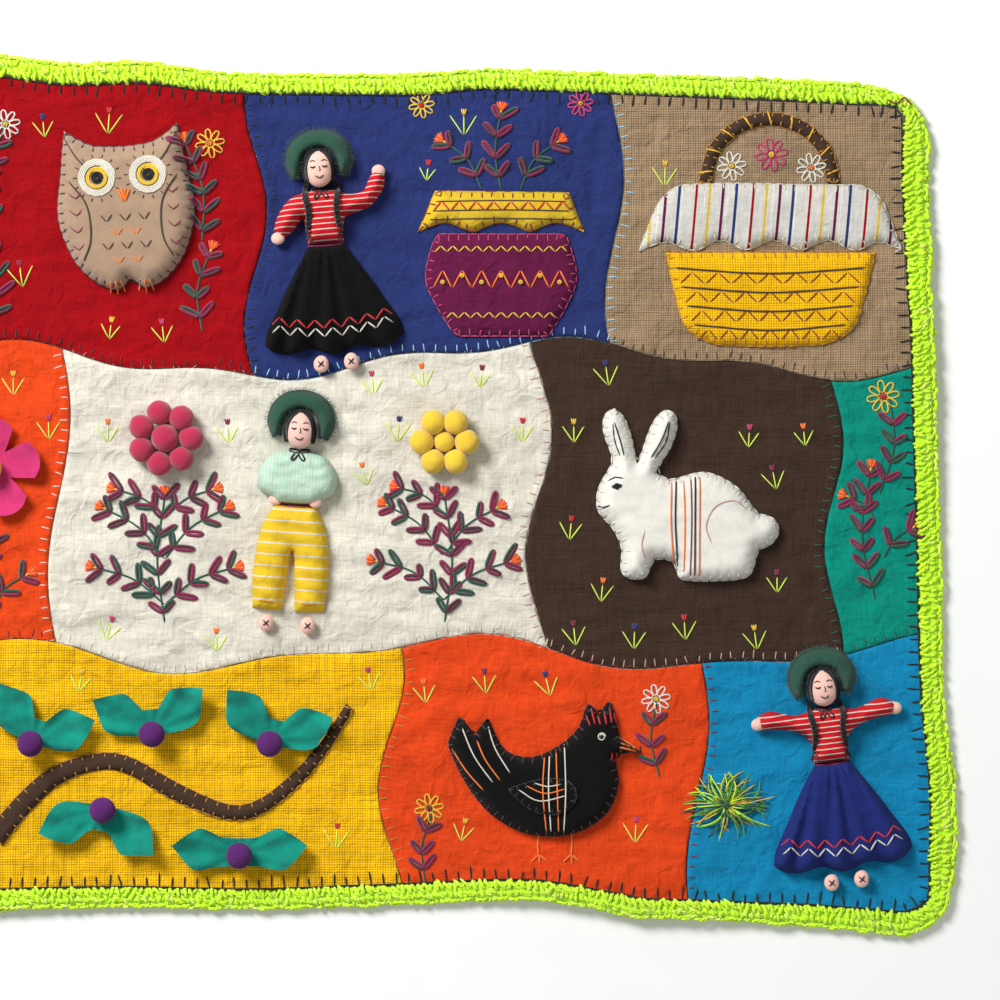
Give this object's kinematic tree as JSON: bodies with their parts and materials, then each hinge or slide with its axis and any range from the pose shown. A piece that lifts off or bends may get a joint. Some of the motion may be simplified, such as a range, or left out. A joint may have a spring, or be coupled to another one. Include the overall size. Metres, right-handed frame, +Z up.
{
  "type": "arpillera textile",
  "caption": "Flat hand-sewn applique picture cloth of coloured cotton fields with stuffed felt figures, cloth dolls, felt balls and a crocheted edging, lying face up.",
  "frame": {"origin": "on the table plane, under the middle of the cloth's bounding box", "axes": "+X along the cloth's long side to the picture's right, +Y towards the picture's top edge, +Z up out of the face"},
  "size_m": [0.665, 0.465, 0.0221],
  "materials": {
    "cream_cotton": "plain woven muslin",
    "teal_cotton": "plain woven cotton",
    "crimson_cotton": "plain woven cotton",
    "blue_cotton": "plain woven cotton",
    "khaki_cotton": "coarse woven cotton",
    "orange_cotton": "plain woven cotton",
    "brown_cotton": "coarse woven cotton",
    "pink_cotton": "plain woven cotton",
    "gold_cotton": "coarse woven cotton",
    "turquoise_cotton": "plain woven cotton",
    "purple_cotton": "plain woven cotton",
    "mustard_cotton": "plain woven cotton with zigzag stitching",
    "black_cotton": "gathered cotton",
    "mint_cotton": "plain woven cotton",
    "striped_white_cotton": "thin cotton with woven stripes",
    "striped_red_cotton": "cotton with cream lines",
    "striped_yellow_cotton": "cotton with cream lines",
    "navy_knit": "fine knit",
    "lime_crochet": "crocheted acrylic yarn",
    "white_felt": "wool felt",
    "black_felt": "wool felt",
    "tan_felt": "wool felt",
    "teal_felt": "wool felt",
    "green_felt": "wool felt",
    "pink_felt": "wool felt",
    "yellow_felt": "wool felt",
    "purple_yarn": "wound yarn",
    "green_thread": "cut cotton thread",
    "doll_cloth": "fine stuffed knit"
  },
  "bodies": {
    "root": {"ground_cloth": "cream_cotton", "crochet_edging": "lime_crochet", "field_teal_left": "teal_cotton", "field_crimson": "crimson_cotton", "field_blue": "blue_cotton", "field_khaki": "khaki_cotton", "field_orange_left": "orange_cotton", "field_cream": "cream_cotton", "field_brown": "brown_cotton", "field_teal_right": "teal_cotton", "field_pink": "pink_cotton", "field_gold": "gold_cotton", "field_orange": "orange_cotton", "field_turquoise": "turquoise_cotton", "vine_stem": "brown_cotton", "vine_leaves_1": "teal_felt", "vine_leaves_2": "teal_felt", "vine_leaves_3": "teal_felt", "vine_leaves_4": "teal_felt", "vine_leaves_5": "teal_felt", "vine_ball_1": "purple_yarn", "vine_ball_2": "purple_yarn", "vine_ball_3": "purple_yarn", "vine_ball_4": "purple_yarn", "vine_ball_5": "purple_yarn", "ball_flower_pink": "pink_felt", "ball_flower_yellow": "yellow_felt", "rabbit": "white_felt", "hen": "black_felt", "hen_wing": "black_felt", "owl": "tan_felt", "star": "yellow_felt", "basket": "gold_cotton", "basket_cloth": "striped_white_cotton", "basket_handle": "brown_cotton", "pot": "purple_cotton", "pot_collar": "mustard_cotton", "flower_1_petals": "pink_felt", "flower_1_ball": "yellow_felt", "flower_2_petals": "pink_felt", "flower_2_ball": "yellow_felt", "thread_tuft": "green_thread", "doll_a_head": "doll_cloth", "doll_a_hat": "green_felt", "doll_a_blouse": "striped_red_cotton", "doll_a_lower": "black_cotton", "doll_a_foot_left": "doll_cloth", "doll_a_foot_right": "doll_cloth", "doll_b_head": "doll_cloth", "doll_b_hat": "green_felt", "doll_b_blouse": "mint_cotton", "doll_b_lower": "striped_yellow_cotton", "doll_b_foot_left": "doll_cloth", "doll_b_foot_right": "doll_cloth", "doll_c_head": "doll_cloth", "doll_c_hat": "green_felt", "doll_c_blouse": "striped_red_cotton", "doll_c_lower": "navy_knit", "doll_c_foot_left": "doll_cloth", "doll_c_foot_right": "doll_cloth"}
  },
  "joints": []
}
